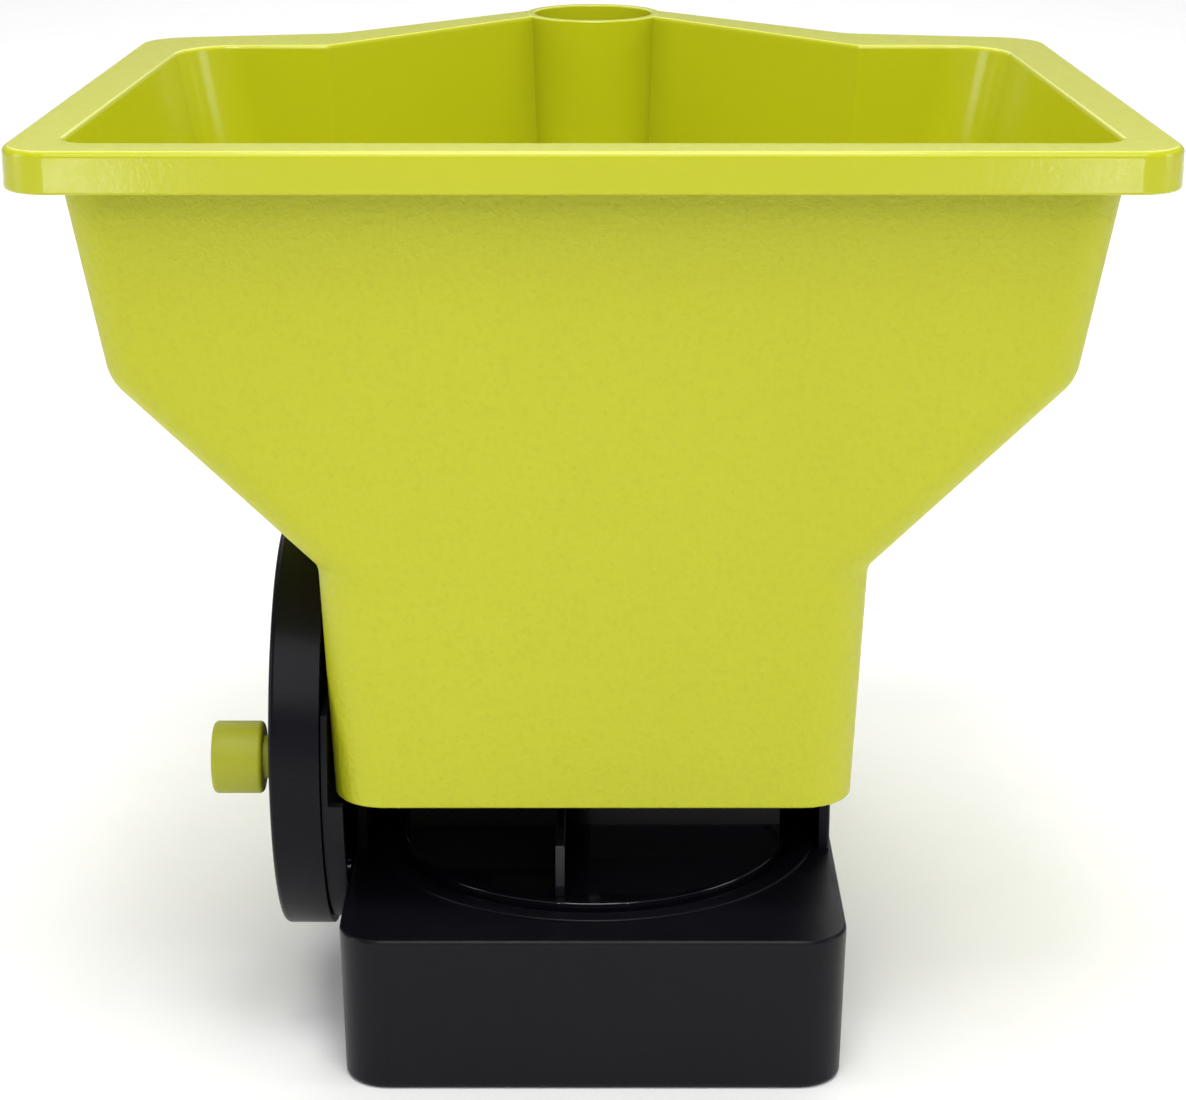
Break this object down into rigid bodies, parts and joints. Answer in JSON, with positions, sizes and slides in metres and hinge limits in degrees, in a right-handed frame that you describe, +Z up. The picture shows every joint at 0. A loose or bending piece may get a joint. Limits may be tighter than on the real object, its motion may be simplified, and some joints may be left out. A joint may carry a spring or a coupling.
{
  "type": "hand-cranked broadcast spreader",
  "caption": "Hand-cranked broadcast spreader with an open-topped hopper, a side crank wheel and a vaned disc under the hopper.",
  "frame": {"origin": "middle of the footprint, on the ground", "axes": "+Z up, +X to the right seen from the discharge side (the crank is on -X), +Y towards the grip"},
  "size_m": [0.2308, 0.229, 0.2],
  "materials": {
    "lime_plastic": "fine moulded grain, smoother on the lip",
    "lime_gate": "smooth moulded",
    "lime_trigger": "fine moulded grain",
    "lime_knob": "smooth, satin",
    "black_plastic": "semi-gloss moulded",
    "black_wheel": "semi-gloss moulded",
    "black_disc": "gloss moulded",
    "natural_acetal": "smooth, waxy",
    "bush_acetal": "smooth",
    "bright_steel": "ground",
    "spring_steel": "drawn wire",
    "zinc_screws": "zinc plated"
  },
  "bodies": {
    "base": {"hopper": "lime_plastic", "base_housing": "black_plastic", "base_cover": "black_plastic", "throat_tray": "black_plastic", "trigger_pin": "bright_steel", "trigger_spring": "spring_steel", "wheel_washer": "zinc_screws", "wheel_screw": "zinc_screws", "lay_outer_bush": "bush_acetal", "lay_inner_bush": "bush_acetal", "spinner_upper_bush": "bush_acetal", "spinner_lower_bush": "bush_acetal", "cover_screws": "zinc_screws", "throat_screws": "zinc_screws", "neck_screws": "zinc_screws", "handle_screw": "zinc_screws"},
    "crank": {"crank_wheel": "black_wheel", "knob_screw": "zinc_screws"},
    "crank_knob": {"knob": "lime_knob"},
    "layshaft": {"drive_pinion": "bush_acetal", "lay_shaft": "bright_steel", "lay_shaft_clip": "spring_steel", "lay_bevel_gear": "natural_acetal"},
    "spinner": {"spinner_shaft": "bright_steel", "spinner_bevel_gear": "natural_acetal", "spinner_disc": "black_disc", "agitator": "natural_acetal"},
    "trigger": {"trigger_lever": "lime_trigger"},
    "gate": {"gate_plate": "lime_gate", "gate_pin": "bright_steel"}
  },
  "joints": [
    {"name": "crank_spin", "type": "hinge", "parent": "base", "child": "crank", "pos_m": [-0.062, -0.055, 0.062], "axis": [1, 0, 0], "continuous": true},
    {"name": "knob_spin", "type": "hinge", "parent": "crank", "child": "crank_knob", "pos_m": [-0.075, -0.0883, 0.0655], "axis": [1, 0, 0], "continuous": true},
    {"name": "layshaft_spin", "type": "hinge", "parent": "base", "child": "layshaft", "pos_m": [-0.03, -0.055, 0.025], "axis": [1, 0, 0], "continuous": true},
    {"name": "spinner_spin", "type": "hinge", "parent": "base", "child": "spinner", "pos_m": [0, -0.055, 0.04], "axis": [0, 0, 1], "continuous": true},
    {"name": "trigger_pull", "type": "hinge", "parent": "base", "child": "trigger", "pos_m": [0, 0.0635, 0.12], "axis": [1, 0, 0], "range_deg": [0, 18.2], "stiffness_Nm_per_rad": 0.2, "springref_deg": -17.19, "deforming": ["trigger_spring"]},
    {"name": "gate_slide", "type": "slide", "parent": "base", "child": "gate", "axis": [0, 1, 0], "range_m": [0, 0.02]}
  ],
  "couplings": [
    {"joint": "layshaft_spin", "follows": "crank_spin", "ratio": 8.4},
    {"joint": "spinner_spin", "follows": "crank_spin", "ratio": -8.4},
    {"joint": "gate_slide", "follows": "trigger_pull", "m_per_rad": 0.0629}
  ]
}
